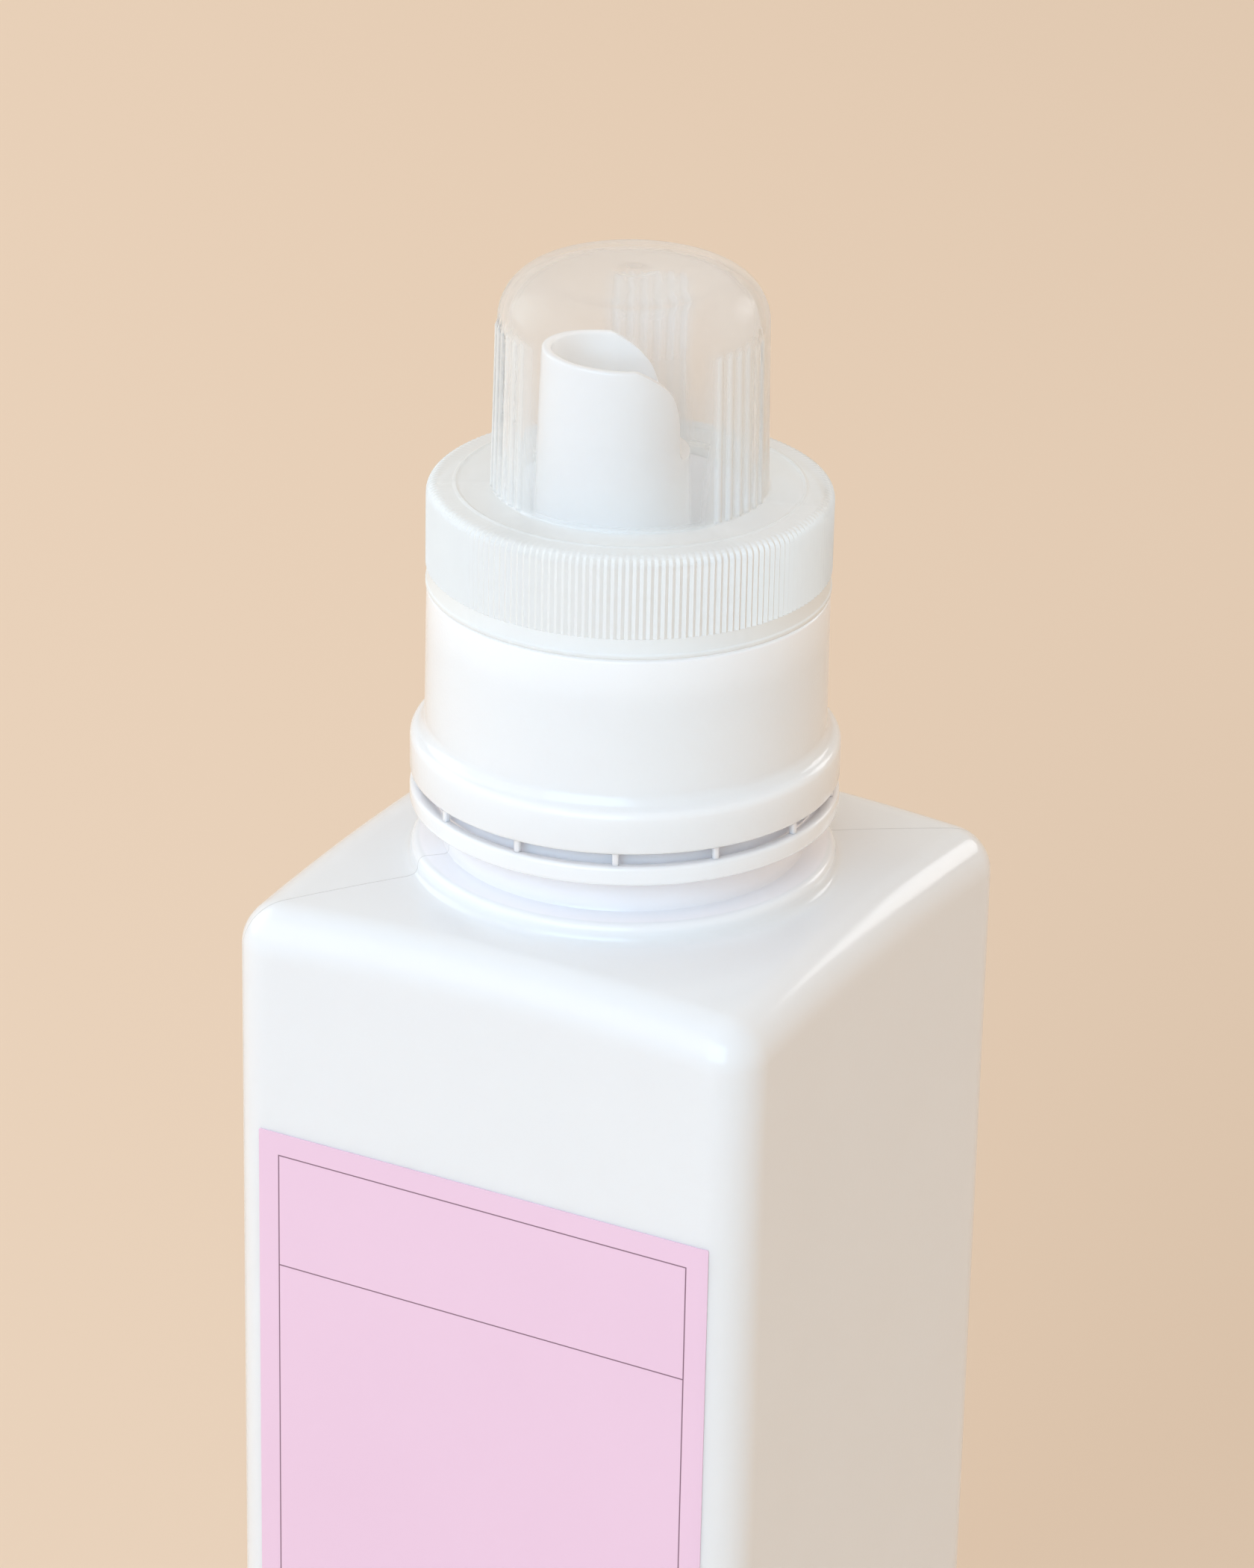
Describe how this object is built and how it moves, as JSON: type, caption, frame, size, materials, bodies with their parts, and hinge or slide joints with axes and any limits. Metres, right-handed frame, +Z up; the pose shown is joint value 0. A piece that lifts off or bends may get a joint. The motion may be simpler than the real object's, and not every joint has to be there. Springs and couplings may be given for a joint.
{
  "type": "laundry detergent bottle",
  "caption": "Square blow-moulded bottle with a drain-back pouring closure, tamper band and clear knurled measuring cap that lifts off.",
  "frame": {"origin": "centre of the bottle's base, on the plane it stands on", "axes": "+Z up along the bottle, -Y out of the label face, +X to the right of the label"},
  "size_m": [0.066, 0.0661, 0.2302],
  "materials": {
    "bottle_plastic": "glossy blow-moulded white polyethylene",
    "closure_plastic": "glossy injection-moulded white polypropylene",
    "clear_plastic": "clear, slightly hazy polypropylene",
    "label_film": "satin pale pink film label"
  },
  "bodies": {
    "bottle_body": {"bottle": "bottle_plastic", "spout_closure": "closure_plastic", "label": "label_film"},
    "cap_body": {"measuring_cap": "clear_plastic"}
  },
  "joints": [
    {"name": "cap_lift", "type": "slide", "parent": "bottle_body", "child": "cap_body", "axis": [0, 0, 1], "range_m": [0, 0.045]}
  ]
}
